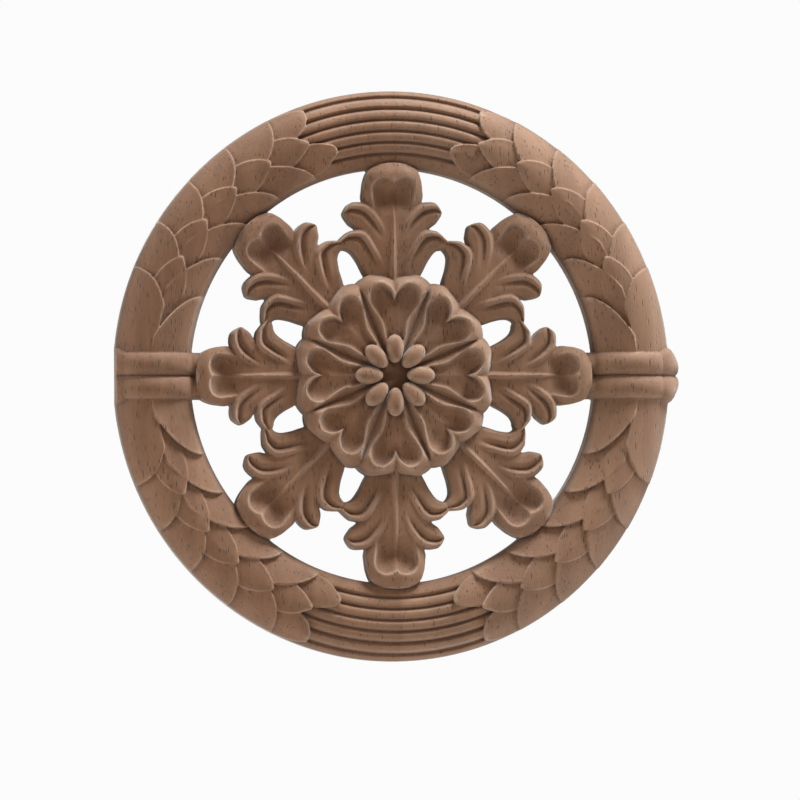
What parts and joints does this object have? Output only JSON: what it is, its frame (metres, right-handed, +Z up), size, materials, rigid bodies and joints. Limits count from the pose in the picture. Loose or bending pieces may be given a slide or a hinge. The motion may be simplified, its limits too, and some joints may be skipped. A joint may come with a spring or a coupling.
{
  "type": "carved wood applique",
  "caption": "Round openwork wooden rosette with a flat back: a flower of heart-shaped petals and acanthus leaves inside a laurel wreath ring bound by straps.",
  "frame": {"origin": "the middle of the ring, on the flat back face behind the flower", "axes": "+Z up as it hangs, -Y out of the carved front, +X to the right seen from the front, so the back lies in the plane Y = 0"},
  "size_m": [0.1992, 0.0141, 0.2],
  "materials": {
    "carved_wood": "raw sanded, unfinished, with open pores along an upright grain"
  },
  "bodies": {
    "root": {"rosette": "carved_wood"}
  },
  "joints": []
}
